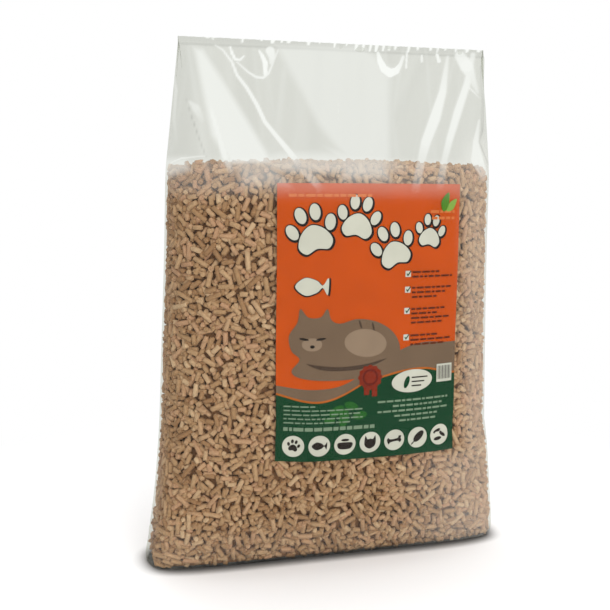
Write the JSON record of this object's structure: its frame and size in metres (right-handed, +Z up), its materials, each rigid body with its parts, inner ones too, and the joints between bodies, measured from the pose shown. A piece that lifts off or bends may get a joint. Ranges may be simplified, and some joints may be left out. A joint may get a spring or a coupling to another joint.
{
  "type": "cat litter bag",
  "caption": "Clear gusseted plastic bag of wood pellet cat litter, welded flat along the top, with a printed label sheet behind the film.",
  "frame": {"origin": "on the floor, under the middle of the bag's bounding box", "axes": "+Z up, +X along the bag's width, and the label faces -Y"},
  "size_m": [0.4238, 0.1915, 0.5855],
  "materials": {
    "film": "clear glossy polyethylene film, slightly grey",
    "label": "printed sheet, orange above and green below",
    "pellets": "dry pressed softwood, matt"
  },
  "bodies": {
    "root": {"bag_film": "film", "front_label": "label", "pellet_fill": "pellets", "loose_pellet_01": "pellets", "loose_pellet_02": "pellets", "loose_pellet_03": "pellets", "loose_pellet_04": "pellets", "loose_pellet_05": "pellets", "loose_pellet_06": "pellets", "loose_pellet_07": "pellets", "loose_pellet_08": "pellets", "loose_pellet_09": "pellets", "loose_pellet_10": "pellets", "loose_pellet_11": "pellets", "loose_pellet_12": "pellets"}
  },
  "joints": []
}
